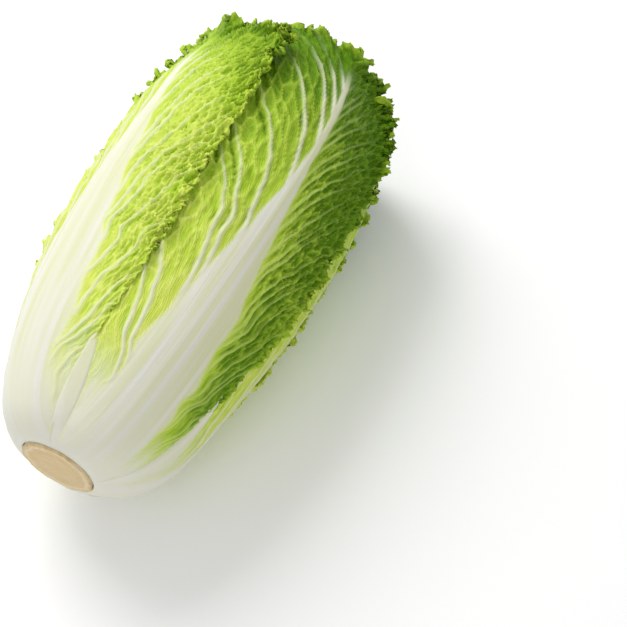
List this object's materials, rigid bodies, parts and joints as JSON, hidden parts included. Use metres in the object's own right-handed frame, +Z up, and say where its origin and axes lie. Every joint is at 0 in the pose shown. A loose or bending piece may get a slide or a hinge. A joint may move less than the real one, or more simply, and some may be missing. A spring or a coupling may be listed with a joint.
{
  "type": "napa cabbage",
  "caption": "Whole head of napa cabbage lying on its side: crinkled, ruffled green leaves with broad white ribs, wrapped round a short stem cut off flat.",
  "frame": {"origin": "under the middle of the head's box, on the surface that it lies on", "axes": "+Z up, +Y from the cut stem to the leaf tips, along the head's length"},
  "size_m": [0.1488, 0.2898, 0.1429],
  "materials": {
    "wrapper_leaf": "semi-gloss, crinkled",
    "middle_leaf": "semi-gloss, crinkled",
    "heart_leaf": "semi-gloss, crinkled",
    "heart_bud": "semi-gloss, crinkled",
    "stem": "matt, cut and browned"
  },
  "bodies": {
    "root": {"wrapper_leaf_1": "wrapper_leaf", "wrapper_leaf_2": "wrapper_leaf", "wrapper_leaf_3": "wrapper_leaf", "wrapper_leaf_4": "wrapper_leaf", "wrapper_leaf_5": "wrapper_leaf", "wrapper_leaf_6": "wrapper_leaf", "wrapper_leaf_7": "wrapper_leaf", "wrapper_leaf_8": "wrapper_leaf", "middle_leaf_1": "middle_leaf", "middle_leaf_2": "middle_leaf", "middle_leaf_3": "middle_leaf", "middle_leaf_4": "middle_leaf", "middle_leaf_5": "middle_leaf", "middle_leaf_6": "middle_leaf", "middle_leaf_7": "middle_leaf", "middle_leaf_8": "middle_leaf", "middle_leaf_9": "middle_leaf", "middle_leaf_10": "middle_leaf", "heart_leaf_1": "heart_leaf", "heart_leaf_2": "heart_leaf", "heart_leaf_3": "heart_leaf", "heart_leaf_4": "heart_leaf", "heart_leaf_5": "heart_leaf", "heart_leaf_6": "heart_leaf", "heart_leaf_7": "heart_leaf", "heart_leaf_8": "heart_leaf", "heart_bud": "heart_bud", "stem": "stem"}
  },
  "joints": []
}
